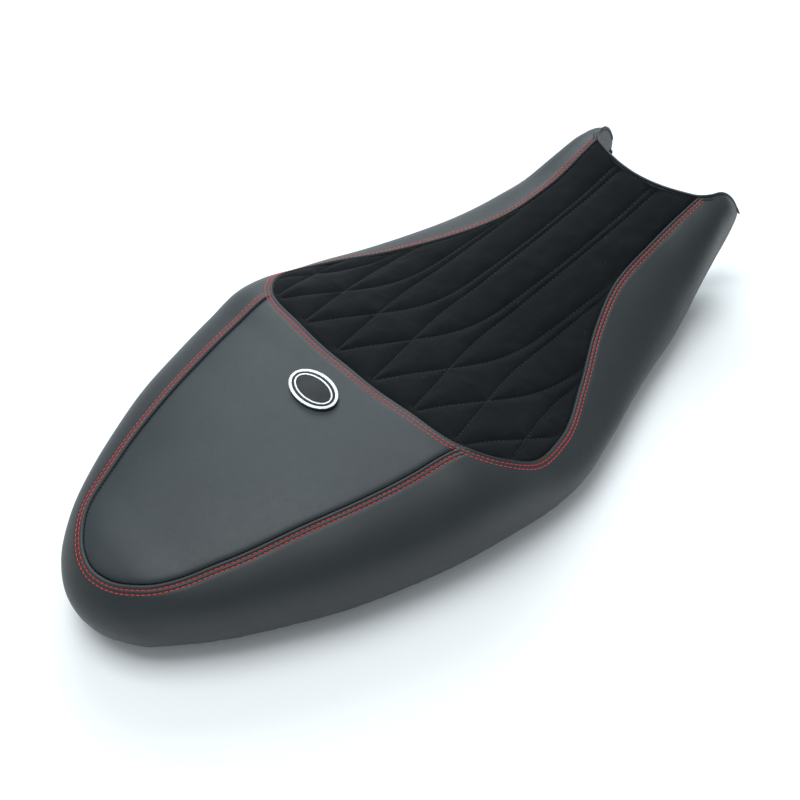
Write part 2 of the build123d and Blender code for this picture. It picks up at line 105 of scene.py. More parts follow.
def station_curves():
    nose = [0.0, 0.004, 0.010, 0.018, 0.030]
    shares = nose + [row[0] for row in STATIONS]
    width = [NOSE_ROUNDNESS * HALF_WIDTH * s * LENGTH for s in nose]
    crown = [NOSE_RISE * CROWN * s * LENGTH for s in nose]
    width += [(row[1] * HALF_WIDTH) ** 2 for row in STATIONS]
    crown += [(row[2] * CROWN) ** 2 for row in STATIONS]
    square = [2.0] * len(nose) + [row[3] for row in STATIONS]
    belly = [0.0] * len(nose) + [row[4] for row in STATIONS]
    rim = [0.0] * len(nose) + [row[5] for row in STATIONS]
    return [hermite(shares, values) for values in (width, crown, square, belly, rim)]


WIDTH2, CROWN2, SQUARE, BELLY_LIFT, RIM_LIFT = station_curves()


def share_of(x):
    return (np.asarray(x, float) - TAIL_X) / LENGTH


def half_width(x):
    return np.sqrt(np.maximum(WIDTH2(share_of(x)), 1e-6))


def belly(x):
    return WIDEST_LINE + BELLY_LIFT(share_of(x))


def rim(x):
    return RIM + RIM_LIFT(share_of(x))


def top(x, y):
    """Height of the seat's upper surface over a point in plan."""
    share = share_of(x)
    square = SQUARE(share)
    crown = np.sqrt(np.maximum(CROWN2(share), 1e-6))
    out = np.clip(np.abs(y) / half_width(x), 0, 1)
    return belly(x) + crown * np.maximum(1 - out ** square, 0) ** (1 / square)


def plan(points, side=1):
    return np.array([(TAIL_X + s * LENGTH, side * w * HALF_WIDTH) for s, w in points])


def smooth_path(points, pitch):
    """Even points, about a pitch apart, along a smooth curve through plan points."""
    points = np.asarray(points, float)
    knots = np.concatenate([[0], np.cumsum(np.linalg.norm(np.diff(points, axis=0), axis=1))])
    curves = [hermite(knots, points[:, axis]) for axis in range(points.shape[1])]
    fine = np.linspace(0, knots[-1], 1500)
    dense = np.stack([curve(fine) for curve in curves], 1)
    return even(dense, pitch)


def even(dense, pitch):
    """Resample a polyline at equal steps."""
    run = np.concatenate([[0], np.cumsum(np.linalg.norm(np.diff(dense, axis=0), axis=1))])
    count = max(2, int(round(run[-1] / pitch)) + 1)
    marks = np.linspace(0, run[-1], count)
    return np.stack([np.interp(marks, run, dense[:, axis]) for axis in range(dense.shape[1])], 1)


def lifted(path):
    """Plan points set on the upper surface."""
    return np.column_stack([path, top(path[:, 0], path[:, 1])])


def tank_edge_path(pitch=1.5):
    """Cut-out for the tank in plan, from the right horn tip round to the left one."""
    corner = FRONT_X - HORN_LENGTH
    radius = (TANK_HALF_WIDTH ** 2 + TANK_HOLLOW ** 2) / (2 * TANK_HOLLOW)
    centre = corner - TANK_HOLLOW + radius
    reach = math.asin(TANK_HALF_WIDTH / radius)
    half = []
    for step in range(13):
        angle = reach * 0.92 * step / 12
        half.append((centre - radius * math.cos(angle), radius * math.sin(angle)))
    for share in (0.20, 0.40, 0.60, 0.80, 0.93, 1.0):
        half.append((corner + share * HORN_LENGTH,
                     TANK_HALF_WIDTH + 1.5 + (HORN_SPREAD - 1.5) * share ** 0.8))
    half = np.array(half)
    right = half[::-1] * (1, -1)
    return smooth_path(np.vstack([right[:-1], half]), pitch)


# ================================================================ shader maths
class Shade:
    """A socket with arithmetic: an expression on values adds its Math nodes."""

    def __init__(self, sheet, socket):
        self.sheet = sheet
        self.socket = socket

    def maths(self, operation, other=None, swap=False, clamp=False):
        pair = [self] if other is None else [self, other]
        if swap:
            pair.reverse()
        return self.sheet.node("ShaderNodeMath", {"operation": operation, "use_clamp": clamp},
                               {index: value for index, value in enumerate(pair)})

    def __add__(self, other): return self.maths("ADD", other)
    def __radd__(self, other): return self.maths("ADD", other)
    def __sub__(self, other): return self.maths("SUBTRACT", other)
    def __rsub__(self, other): return self.maths("SUBTRACT", other, swap=True)
    def __mul__(self, other): return self.maths("MULTIPLY", other)
    def __rmul__(self, other): return self.maths("MULTIPLY", other)
    def __truediv__(self, other): return self.maths("DIVIDE", other)
    def __pow__(self, other): return self.maths("POWER", other)
    def clamped(self): return self.maths("ADD", 0.0, clamp=True)
    def above(self, edge, soft): return ((self - edge) * (1 / soft)).clamped()


class Sheet:
    """One material and its nodes."""

    def __init__(self, name):
        self.material = bpy.data.materials.new(name)
        self.material.use_nodes = True
        self.tree = self.material.node_tree
        self.tree.nodes.clear()

    def node(self, kind, settings=None, inputs=None, out=0):
        made = self.tree.nodes.new(kind)
        for key, value in (settings or {}).items():
            if key == "ramp":
                ramp = made.color_ramp
                while len(ramp.elements) < len(value):
                    ramp.elements.new(0.5)
                for element, (place, colour) in zip(ramp.elements, value):
                    element.position = place
                    element.color = (*colour, 1)
            else:
                setattr(made, key, value)
        for key, value in (inputs or {}).items():
            if isinstance(value, Shade):
                self.tree.links.new(value.socket, made.inputs[key])
            else:
                made.inputs[key].default_value = value
        return Shade(self, made.outputs[out])

    def place(self, scale=(1, 1, 1), turn=(0, 0, 0)):
        """Object coordinates in millimetres."""
        where = self.node("ShaderNodeTexCoord", out="Object")
        return self.node("ShaderNodeMapping", None, {
            "Vector": where, "Scale": [value / MM for value in scale], "Rotation": turn})

    def noise(self, size, detail=2.0, rough=0.5, scale=(1, 1, 1), out="Fac"):
        return self.node("ShaderNodeTexNoise", None, {
            "Vector": self.place(scale), "Scale": 1 / size, "Detail": detail,
            "Roughness": rough}, out=out)

    def cells(self, size, feature="F1", out="Distance", scale=(1, 1, 1)):
        return self.node("ShaderNodeTexVoronoi", {"feature": feature}, {
            "Vector": self.place(scale), "Scale": 1 / size}, out=out)

    def mix(self, share, low, high):
        made = self.tree.nodes.new("ShaderNodeMix")
        made.data_type = "RGBA"
        for index, value in ((0, share), (6, low), (7, high)):
            if isinstance(value, Shade):
                self.tree.links.new(value.socket, made.inputs[index])
            elif index:
                made.inputs[index].default_value = (*value, 1)
            else:
                made.inputs[index].default_value = value
        return Shade(self, made.outputs[2])

    def bump(self, height, depth, strength=1.0, normal=None):
        """Bump of a height field, depth in millimetres."""
        inputs = {"Height": height, "Distance": depth * MM, "Strength": strength}
        if normal:
            inputs["Normal"] = normal
        return self.node("ShaderNodeBump", None, inputs)

    def done(self, **sockets):
        names = {"colour": "Base Color", "rough": "Roughness", "metal": "Metallic",
                 "normal": "Normal", "sheen": "Sheen Weight", "sheen_rough": "Sheen Roughness",
                 "sheen_tint": "Sheen Tint", "specular": "Specular IOR Level"}
        inputs = {}
        for key, value in sockets.items():
            if isinstance(value, tuple) and len(value) == 3:
                value = (*value, 1)
            inputs[names[key]] = value
        shader = self.node("ShaderNodeBsdfPrincipled", None, inputs)
        output = self.tree.nodes.new("ShaderNodeOutputMaterial")
        self.tree.links.new(shader.socket, output.inputs["Surface"])
        return self.material


# ================================================================ finishes
def leather(name, tone, rough):
    """Smooth seat leather: fine pebble grain with painted shade in its creases, pores, and a soft
    satin sheen.
    """
    sheet = Sheet(name)
    grain = sheet.cells(1.15, feature="DISTANCE_TO_EDGE")
    fine = sheet.noise(0.45, detail=3.0)
    cloud = sheet.noise(38.0, detail=3.0)
    wear = sheet.noise(7.0, detail=4.0, rough=0.6)
    dark = tuple(value * 0.92 for value in tone)
    light = tuple(value * 1.10 for value in tone)
    colour = sheet.mix(cloud.above(0.35, 0.3), dark, light)
    crease = 1 - grain.above(0.02, 0.10)
    # Painted shade: the grain creases are darkened by about a fifth in colour.
    colour = sheet.mix(crease * 0.45, colour, tuple(value * 0.55 for value in tone))
    height = grain.above(0.0, 0.16) * 0.75 + fine * 0.35
    normal = sheet.bump(height, 0.035, 0.75)
    return sheet.done(colour=colour, rough=rough + wear * 0.10 + crease * 0.06,
                      normal=normal, specular=0.5)


def suede(name):
    """Napped microfibre suede: short brushed fibres, patches of turned nap, a few lint specks."""
    sheet = Sheet(name)
    fibre = sheet.noise(0.55, detail=4.0, rough=0.75, scale=(0.6, 1, 1))
    nap = sheet.noise(9.0, detail=5.0, rough=0.62, scale=(0.55, 1, 1))
    patch = sheet.noise(34.0, detail=2.0)
    lint = sheet.cells(4.2)
    speck = 1 - lint.above(0.045, 0.02)
    chance = sheet.noise(5.0).above(0.60, 0.02)
    shade = (nap * 0.55 + fibre * 0.45 + patch * 0.25 - 0.12).clamped()
    colour = sheet.mix(shade, (0.0010, 0.0012, 0.0014), (0.013, 0.0145, 0.0165))
    colour = sheet.mix(speck * chance, colour, (0.13, 0.135, 0.14))
    height = fibre * 0.8 + nap * 0.6
    normal = sheet.bump(height, 0.30, 0.8)
    return sheet.done(colour=colour, rough=0.97, normal=normal, specular=0.12,
                      sheen=0.06, sheen_rough=0.45, sheen_tint=(0.55, 0.60, 0.66))


def thread(name, tone, rough=0.55):
    """Twisted polyester thread."""
    sheet = Sheet(name)
    strands = sheet.noise(0.35, detail=2.0, scale=(1, 1.6, 1))
    lot = sheet.noise(14.0)
    colour = sheet.mix(strands.above(0.3, 0.4), tuple(v * 0.62 for v in tone), tone)
    colour = sheet.mix(lot * 0.35, colour, tuple(min(1, v * 1.25) for v in tone))
    return sheet.done(colour=colour, rough=rough, normal=sheet.bump(strands, 0.12, 0.8),
                      specular=0.4)


def plastic(name):
    """Moulded polypropylene with a spark-eroded texture."""
    sheet = Sheet(name)
    spark = sheet.noise(0.7, detail=3.0, rough=0.7)
    flow = sheet.noise(60.0, detail=3.0)
    colour = sheet.mix(flow, (0.020, 0.021, 0.022), (0.034, 0.035, 0.037))
    return sheet.done(colour=colour, rough=0.48 + spark * 0.16,
                      normal=sheet.bump(spark, 0.05, 0.8))


def metal(name, tone, rough, brushed=(1, 1, 1)):
    """Plated or bare metal with fine marks."""
    sheet = Sheet(name)
    marks = sheet.noise(0.9, detail=4.0, rough=0.7, scale=brushed)
    stain = sheet.noise(11.0, detail=3.0)
    colour = sheet.mix(stain, tuple(v * 0.82 for v in tone), tone)
    return sheet.done(colour=colour, rough=rough + marks * 0.14 - 0.05, metal=1.0,
                      normal=sheet.bump(marks, 0.02, 0.6))


def coated(name):
    """Powder-coated steel, slightly orange-peeled."""
    sheet = Sheet(name)
    peel = sheet.noise(1.6, detail=2.0)
    dust = sheet.noise(24.0, detail=4.0)
    colour = sheet.mix(dust, (0.014, 0.014, 0.015), (0.028, 0.028, 0.030))
    return sheet.done(colour=colour, rough=0.36 + dust * 0.12, normal=sheet.bump(peel, 0.06, 0.7))


def rubber(name):
    sheet = Sheet(name)
    bloom = sheet.noise(6.0, detail=5.0, rough=0.65)
    colour = sheet.mix(bloom, (0.012, 0.012, 0.012), (0.040, 0.040, 0.039))
    return sheet.done(colour=colour, rough=0.72 + bloom * 0.16, normal=sheet.bump(bloom, 0.05, 0.6))


def foam(name, tone):
    """Open-cell polyurethane foam."""
    sheet = Sheet(name)
    cells = sheet.cells(1.3)
    skin = sheet.noise(18.0, detail=3.0)
    # Painted shade: the pits at the cell centres are painted darker, down to 0.6 of the tone.
    colour = sheet.mix(cells.above(0.15, 0.5), tuple(v * 0.6 for v in tone), tone)
    colour = sheet.mix(skin * 0.3, colour, tuple(v * 1.1 for v in tone))
    return sheet.done(colour=colour, rough=0.92, normal=sheet.bump(cells, 0.4, 0.9), specular=0.2)


def enamel(name):
    sheet = Sheet(name)
    flow = sheet.noise(8.0, detail=2.0)
    colour = sheet.mix(flow, (0.004, 0.004, 0.005), (0.010, 0.010, 0.011))
    return sheet.done(colour=colour, rough=0.16 + flow * 0.08, normal=sheet.bump(flow, 0.02, 0.4))


# One leather in two copies: the tail top copy is painted about a third lighter than the side copy,
# painted light standing in for the sheen on the top panel.
SIDE_LEATHER = leather("side_leather", (0.0135, 0.0178, 0.0205), 0.44)
TOP_LEATHER_PAINTED_LIGHTER = leather("top_leather", (0.0178, 0.0242, 0.0275), 0.46)
SUEDE = suede("black_suede")
RED_THREAD = thread("red_top_stitch_thread", (0.62, 0.045, 0.040))
BLACK_THREAD = thread("black_seam_thread", (0.010, 0.011, 0.012))
QUILT_THREAD = thread("grey_quilting_thread", (0.020, 0.022, 0.024))
PAN_PLASTIC = plastic("pan_plastic")
COATED_STEEL = coated("coated_steel")
ZINC = metal("zinc_plated_steel", (0.62, 0.63, 0.62), 0.34)
BRASS = metal("insert_brass", (0.78, 0.57, 0.27), 0.30)
BADGE_METAL = metal("badge_metal", (0.72, 0.73, 0.74), 0.24, brushed=(0.2, 1, 1))
BADGE_ENAMEL = enamel("badge_enamel")
RUBBER = rubber("buffer_rubber")
SEAT_FOAM = foam("seat_foam", (0.62, 0.56, 0.38))
TAPE = foam("badge_tape", (0.05, 0.05, 0.05))


# ================================================================ mesh tools
def make_piece(name, points, faces, material):
    """Mesh object from points in millimetres, riding on the seat."""
    mesh = bpy.data.meshes.new(name)
    mesh.from_pydata((np.asarray(points) * MM).tolist(), [], [tuple(f) for f in faces])
    mesh.validate()
    mesh.update()
    mesh.polygons.foreach_set("use_smooth", [True] * len(mesh.polygons))
    mesh.materials.append(material)
    piece = bpy.data.objects.new(name, mesh)
    bpy.context.scene.collection.objects.link(piece)
    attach(piece, BODY)
    return piece


def normals_of(points, faces):
    """Unit normals at the points of a mesh whose faces are triangles or quads."""
    points = np.asarray(points, float)
    total = np.zeros_like(points)
    for size in (3, 4):
        group = np.array([f for f in faces if len(f) == size], int)
        if len(group) == 0:
            continue
        across = points[group[:, 2]] - points[group[:, 0]]
        other = points[group[:, -1]] - points[group[:, 1]] if size == 4 else (
            points[group[:, 1]] - points[group[:, 0]])
        facing = np.cross(across, other) if size == 4 else np.cross(other, across)
        for corner in range(size):
            np.add.at(total, group[:, corner], facing)
    return total / np.maximum(np.linalg.norm(total, axis=1, keepdims=True), 1e-9)


def thicken(piece, depth):
    """Give a sheet its material's thickness, inwards."""
    solid = piece.modifiers.new("thickness", "SOLIDIFY")
    solid.thickness = depth * MM
    solid.offset = -1.0
    return piece


def near(points, line):
    """Distance from each point to a densely sampled line."""
    tree = kdtree.KDTree(len(line))
    for index, place in enumerate(line):
        tree.insert(Vector(place), index)
    tree.balance()
    return np.array([tree.find(Vector(point))[2] for point in points])


def inside(points, loop):
    """Which plan points lie inside a closed loop."""
    x, y = points[:, 0][:, None], points[:, 1][:, None]
    ax, ay = loop[:, 0][None], loop[:, 1][None]
    bx, by = np.roll(loop[:, 0], -1)[None], np.roll(loop[:, 1], -1)[None]
    crosses = (ay > y) != (by > y)
    span = np.where(by == ay, 1e-9, by - ay)
    return (np.sum(crosses & (x < (bx - ax) * (y - ay) / span + ax), axis=1) % 2) == 1


def flat3(points):
    return np.column_stack([points, np.zeros(len(points))])


def plan_mesh(loop, pitch, steps, lines=(), line_steps=()):
    """Triangles over a plan outline, with rows that follow its edge and given lines."""
    def offset_rows(path, distance, closed):
        ahead = np.roll(path, -1, 0) if closed else np.vstack([path[1:], path[-1:]])
        behind = np.roll(path, 1, 0) if closed else np.vstack([path[:1], path[:-1]])
        along = ahead - behind
        along /= np.maximum(np.linalg.norm(along, axis=1, keepdims=True), 1e-9)
        return path + np.column_stack([-along[:, 1], along[:, 0]]) * distance

    edge = flat3(even(np.vstack([loop, loop[:1]]), 0.6))
    rows = []
    for step in steps:
        row = offset_rows(loop, step, True)
        row = row[inside(row, loop)]
        rows.append(row[near(flat3(row), edge) > 0.93 * step])
    band = steps[-1] + 0.55 * pitch
    fine = np.vstack([flat3(even(line, 0.6)) for line in lines]) if lines else None
    for line in lines:
        for step in (0.0, *line_steps, *(-value for value in line_steps)):
            row = offset_rows(line, step, False)
            row = row[inside(row, loop)]
            row = row[near(flat3(row), edge) > band]
            rows.append(row[near(flat3(row), fine) > 0.85 * abs(step)])
    low, high = loop.min(0), loop.max(0)
    gx, gy = np.meshgrid(np.arange(low[0], high[0], pitch), np.arange(low[1], high[1], pitch))
    gx = gx + (np.arange(gx.shape[0]) % 2)[:, None] * pitch / 2
    grid = np.column_stack([gx.ravel(), gy.ravel()])
    grid = grid[inside(grid, loop)]
    grid = grid[near(flat3(grid), edge) > band]
    if lines:
        reach = (line_steps[-1] if line_steps else 0) + 0.55 * pitch
        grid = grid[near(flat3(grid), fine) > reach]
    points = np.vstack([loop, *rows, grid])
    done = geometry.delaunay_2d_cdt([Vector(p) for p in points], [], [list(range(len(loop)))],
                                    1, 0.25)
    return np.array([tuple(p) for p in done[0]]), [tuple(f) for f in done[2]]


def tube(name, path, radius, material, sides=10):
    """Round welt along a path in space."""
    path = np.asarray(path, float)
    along = np.gradient(path, axis=0)
    along /= np.linalg.norm(along, axis=1, keepdims=True)
    side = np.cross(along, (0, 0, 1.0))
    side /= np.maximum(np.linalg.norm(side, axis=1, keepdims=True), 1e-9)
    up = np.cross(side, along)
    points, faces = [], []
    for index, place in enumerate(path):
        grow = min(1.0, 0.35 + min(index, len(path) - 1 - index) * 0.5)
        for turn in range(sides):
            angle = 2 * math.pi * turn / sides
            points.append(place + grow * radius * (math.cos(angle) * side[index]
                                                   + math.sin(angle) * up[index]))
    for ring in range(len(path) - 1):
        for turn in range(sides):
            a, b = ring * sides + turn, ring * sides + (turn + 1) % sides
            faces.append((a, b, b + sides, a + sides))
    faces.append(tuple(range(sides)))
    faces.append(tuple(reversed(range((len(path) - 1) * sides, len(path) * sides))))
    return make_piece(name, points, faces, material)


# ================================================================ lines on the seat
def slope_normal(path):
    """Unit normals of the upper surface at plan points."""
    step = 0.05
    x, y = path[:, 0], path[:, 1]
    rise_x = (top(x + step, y) - top(x - step, y)) / (2 * step)
    rise_y = (top(x, y + step) - top(x, y - step)) / (2 * step)
    normal = np.column_stack([-rise_x, -rise_y, np.ones(len(x))])
    return normal / np.linalg.norm(normal, axis=1, keepdims=True)


def on_top(path, height=0.0):
    """Plan points set on the upper surface and lifted along its normal."""
    height = np.broadcast_to(height, len(path))
    return lifted(path) + slope_normal(path) * height[:, None]


def beside(path, distance):
    """Plan line that runs a true distance to the right of a line on the surface."""
    places = lifted(path)
    along = np.gradient(places, axis=0)
    along /= np.linalg.norm(along, axis=1, keepdims=True)
    across = np.cross(along, slope_normal(path))
    return (places + across * distance)[:, :2]


def mirrored(path):
    return path * (1, -1)


def suede_seam(pitch=1.0):
    """Sides and rear of the suede panel: right front corner, tail end, left front corner."""
    right = plan(SIDE_SEAM, -1)[::-1]
    rear = plan(REAR_SEAM, -1)[1:]
    half = np.vstack([right, rear])
    return smooth_path(np.vstack([half, mirrored(half[:-1])[::-1]]), pitch)


def tail_seam(pitch=1.0):
    """Seam round the tail panel, from the left end of the rear seam to the right one."""
    half = plan(TAIL_SEAM, 1)[::-1]
    return smooth_path(np.vstack([half, mirrored(half[:-1])[::-1]]), pitch)


SUEDE_SEAM = suede_seam()
TAIL_LINE = tail_seam()
TANK_EDGE = tank_edge_path()
SUEDE_FINE = lifted(even(SUEDE_SEAM, 0.4))
TAIL_FINE = lifted(even(TAIL_LINE, 0.4))

# height of a folded and double-stitched leather edge, by distance from its seam
ROWS = (3.8, 6.8)
FOLD = [(0, -1.5), (0.4, -0.6), (0.9, 0.35), (1.6, 0.8), (2.3, 0.65), (3.0, 0.1), (3.8, -0.45),
        (4.6, 0.05), (5.3, 0.28), (6.0, 0.05), (6.8, -0.4), (7.6, 0.0), (9.0, 0.1), (12.0, 0)]
TUCKED = [(0, -1.6), (0.6, -1.2), (1.5, -0.55), (3.0, -0.15), (5.0, 0)]


def profile(shape, distance):
    places, heights = zip(*shape)
    return np.interp(distance, places, heights)


def smooth_step(value, low, high):
    share = np.clip((value - low) / (high - low), 0, 1)
    return share * share * (3 - 2 * share)


def waviness(points, size, seed=0.0):
    """Gentle noise, about -1 to 1, at points in millimetres."""
    return np.array([noise.noise(Vector(point) / size + Vector((seed, 0, 0)))
                     for point in points]) * 1.6


def leather_relief(places, outside_tail):
    """Height of the leather over its foam near the seams."""
    from_suede = near(places, SUEDE_FINE)
    from_tail = near(places, TAIL_FINE)
    away = smooth_step(from_suede, 3.0, 9.0)
    shape = FOLD if outside_tail else TUCKED
    return profile(FOLD, from_suede) + away * profile(shape, from_tail)


def counter_clockwise(loop):
    ahead = np.roll(loop, -1, 0)
    area = np.sum(loop[:, 0] * ahead[:, 1] - ahead[:, 0] * loop[:, 1])
    return loop if area > 0 else loop[::-1]


def turned_edge(points, faces, depth, keep=None):
    """Turn the free edge of a sheet down into its seam."""
    count = {}
    for face in faces:
        for start, end in zip(face, (*face[1:], face[0])):
            count[start, end] = count.get((start, end), 0) + 1
    free = [edge for edge in count if edge[::-1] not in count and (keep is None or keep(*edge))]
    normals = normals_of(points, faces)
    rim_points = sorted({place for edge in free for place in edge})
    lower = {place: len(points) + index for index, place in enumerate(rim_points)}
    down = points[rim_points] - normals[rim_points] * depth
    faces = list(faces) + [(end, start, lower[start], lower[end]) for start, end in free]
    return np.vstack([points, down]), faces


# ================================================================ tail top panel
def tail_panel():
    corner = plan(REAR_SEAM[:1], 1)[0]
    rear = SUEDE_SEAM[np.abs(SUEDE_SEAM[:, 1]) < corner[1]]
    rear = rear[rear[:, 0] < corner[0] + 1]
    loop = counter_clockwise(np.vstack([TAIL_LINE, rear[1:-1]]))
    flat, faces = plan_mesh(loop, 2.6, (0.6, 1.2, 2.0, 3.0, 4.0, 5.0, 6.0, 7.0, 8.0, 9.0, 10.0,
                                        11.5, 13.5))
    places = lifted(flat)
    height = leather_relief(places, False) + 0.18 * waviness(places, 45.0)
    points, faces = turned_edge(on_top(flat, height), faces, 4.0)
    # Painted light: the tail top is covered with the leather copy painted lighter than the sides.
    piece = make_piece("tail_top_cover", points, faces, TOP_LEATHER_PAINTED_LIGHTER)
    thicken(piece, 1.3)
    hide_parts("tail_top_panel")
    return piece


# ================================================================ quilted suede panel
QUILT_PITCH = 42.5
TWIN_GAP = 8.0
REAR_NODES = [(-57.0, 106.2), (-62.5, 63.8), (-66.0, 21.2)]
# how far a diamond line has crossed to the next node, by distance along the seat
CROSSING = [(-70, 0), (-39, 0.25), (-11, 0.50), (16, 0.74), (41, 0.90), (66, 0.975), (96, 1), (340, 1)]


def quilt_lines():
    """Diamond lines from the rear seam that close up into forward-running twins."""
    places, shares = zip(*CROSSING)
    cross = hermite(places, shares)
    starts = REAR_NODES + [(x, -y) for x, y in REAR_NODES] + [(-72.0, 148.6), (-72.0, -148.6)]
    lines = []
    for start_x, start_y in starts:
        for way in (-1, 1):
            x = np.arange(start_x, FRONT_X - HORN_LENGTH, 1.2)
            shift = cross(x) * (QUILT_PITCH - TWIN_GAP / 2)
            line = np.column_stack([x, start_y + way * shift])
            if abs(start_y + way * QUILT_PITCH) > 160:
                continue
            lines.append(line)
    return lines


def suede_panel():
    front = TANK_EDGE[np.abs(TANK_EDGE[:, 1]) < 58.5]
    front = front[front[:, 0] < FRONT_X - HORN_LENGTH + 1]
    loop = counter_clockwise(np.vstack([even(SUEDE_SEAM, 1.3), front[::-1]]))
    lines = []
    for line in quilt_lines():
        line = line[inside(line, loop)]
        if len(line) > 6:
            lines.append(line)
    flat, faces = plan_mesh(loop, 2.2, (0.8, 1.8, 3.0, 4.4), lines, (0.8, 1.9, 3.2))
    places = lifted(flat)
    from_line = near(places, np.vstack([lifted(even(line, 0.5)) for line in lines]))
    from_seam = near(places, SUEDE_FINE)
    from_front = near(places, lifted(even(front, 0.5)))
    edge = np.minimum(from_seam, from_front)
    pillow = 1 - np.exp(-from_line / 5.5)
    rise = (1 - np.exp(-edge / 3.2))
    height = -1.9 + (2.9 * pillow - 1.9 * (1 - pillow)) * rise
    rumple = waviness(places, 17.0, 3.0) * 0.45 + waviness(places, 7.0, 8.0) * 0.22
    height = height + rumple * np.minimum(1, np.minimum(from_line, edge) / 5)
    points, faces = turned_edge(on_top(flat, height), faces, 3.0)
    piece = make_piece("quilted_suede_cover", points, faces, SUEDE)
    thicken(piece, 1.2)
    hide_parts("suede_seat_panel", "quilt_foam_layer")
    return lines


# ================================================================ side cover
NEAR_ROWS = (0, 0.4, 0.9, 1.4, 1.9, 2.5, 3.1, 3.5, 3.8, 4.2, 4.7, 5.3, 5.9, 6.4, 6.8, 7.2, 7.8,
             9.0, 11.0, 14.0)
TOP_ROWS, FLANK_ROWS = 18, 15
FOLD_ROWS = [(0.6, -1.0), (2.2, -1.7), (4.2, -1.2), (5.4, 0.6), (5.8, 5.0), (6.4, 10.0), (7.0, 15.0)]
# where a cross line starts on the inner edge, and where it reaches the widest line
CROSS_LINES = [(-62.4, -56.0), (-19.3, -18.0), (127.0, 141.0), (286.0, 311.0)]


def run_of(path):
    return np.concatenate([[0], np.cumsum(np.linalg.norm(np.diff(path, axis=0), axis=1))])


def inner_edge(pitch=2.0):
    """Right half of the band's inner edge: horn, side seam, then tail seam to the tail."""
    corner = FRONT_X - HORN_LENGTH
    horn = TANK_EDGE[(TANK_EDGE[:, 1] < 0) & (TANK_EDGE[:, 0] > corner + 6)]
    side = SUEDE_SEAM[SUEDE_SEAM[:, 1] < 0]
    knot = np.argmin(np.linalg.norm(side - plan(REAR_SEAM[:1], -1)[0], axis=1))
    ahead = np.vstack([horn, side[:knot + 1]])
    astern = TAIL_LINE[TAIL_LINE[:, 1] <= 1e-6][::-1]
    return even(ahead, pitch), even(astern, pitch)


def outline_path():
    share = 1 - (1 - np.linspace(0, 1, 2400)) ** 2
    x = TAIL_X + (1 - share) * LENGTH
    return np.column_stack([x, -half_width(x)])


def cross_pairs():
    """Inner-edge points and the widest-line points that their cross lines run to."""
    ahead, astern = inner_edge()
    outline = outline_path()
    outline_run = run_of(outline)

    def run_at(x):
        return np.interp(-x, -outline[:, 0], outline_run)

    marks = [(FRONT_X, FRONT_X)] + [(s, o) for s, o in CROSS_LINES[::-1]]
    ahead_run = run_of(ahead)
    seam_runs = [np.interp(-seam, -ahead[:, 0], ahead_run) for seam, _ in marks]
    seam_runs[-1] = ahead_run[-1]
    reach = np.array([run_at(out) for _, out in marks])
    ends = hermite(seam_runs, reach)(ahead_run)
    astern_run = run_of(astern)
    slope = np.interp(astern_run, [0, astern_run[-1]], [reach[-1], outline_run[-1]])
    inner = np.vstack([ahead, astern[1:]])
    runs = np.concatenate([ends, slope[1:]])
    outer = np.stack([np.interp(runs, outline_run, outline[:, axis]) for axis in (0, 1)], 1)
    outer[-1] = (TAIL_X, 0)
    direction = np.gradient(outline, outline_run, axis=0)
    facing = np.column_stack([-direction[:, 1], direction[:, 0]])
    facing = np.stack([np.interp(runs, outline_run, facing[:, axis]) for axis in (0, 1)], 1)
    facing[-1] = (-1, 0)
    facing /= np.linalg.norm(facing, axis=1, keepdims=True)
    return inner, outer, facing


def column(inner, outer, facing):
    """Points of the cover from the seam over the shoulder, down the flank and round the hem."""
    share = 1 - (1 - np.linspace(0, 1, 60)) ** 2
    path = inner + (outer - inner) * share[:, None]
    over = lifted(path)
    over[-1, 2] = belly(outer[0])
    x = float(outer[0])
    drop = belly(x) - rim(x)
    depth, tuck = TUCK_DEPTH * drop / FULL_DROP, TUCK * drop / FULL_DROP
    tuck = min(tuck, 0.9 * max(half_width(x), TUCK))
    last = math.asin(min(1.0, drop / depth))
    angle = np.linspace(0, last, 40)
    under = np.column_stack([outer - facing * (tuck * (1 - np.cos(angle)))[:, None],
                             belly(x) - depth * np.sin(angle)])
    run = run_of(over)
    tight = min(1.0, run[-1] / (2 * NEAR_ROWS[-1]))
    marks = [row * tight for row in NEAR_ROWS]
    marks += list(np.linspace(marks[-1], run[-1], TOP_ROWS + 1)[1:])
    points = [np.stack([np.interp(marks, run, over[:, axis]) for axis in range(3)], 1)]
    run = run_of(under)
    marks = np.linspace(0, run[-1], FLANK_ROWS + 1)[1:]
    points.append(np.stack([np.interp(marks, run, under[:, axis]) for axis in range(3)], 1))
    edge = under[-1]
    closing = smooth_step(inner[0], 284.0, 292.0)
    folds = []
    for index, (inward, rise) in enumerate(FOLD_ROWS):
        hem = edge + np.append(-facing * inward, rise)
        closed = edge + (np.append(inner, rim(inner[0])) - edge) * (index + 1) / len(FOLD_ROWS)
        folds.append(hem * (1 - closing) + closed * closing)
    return np.vstack([*points, folds])


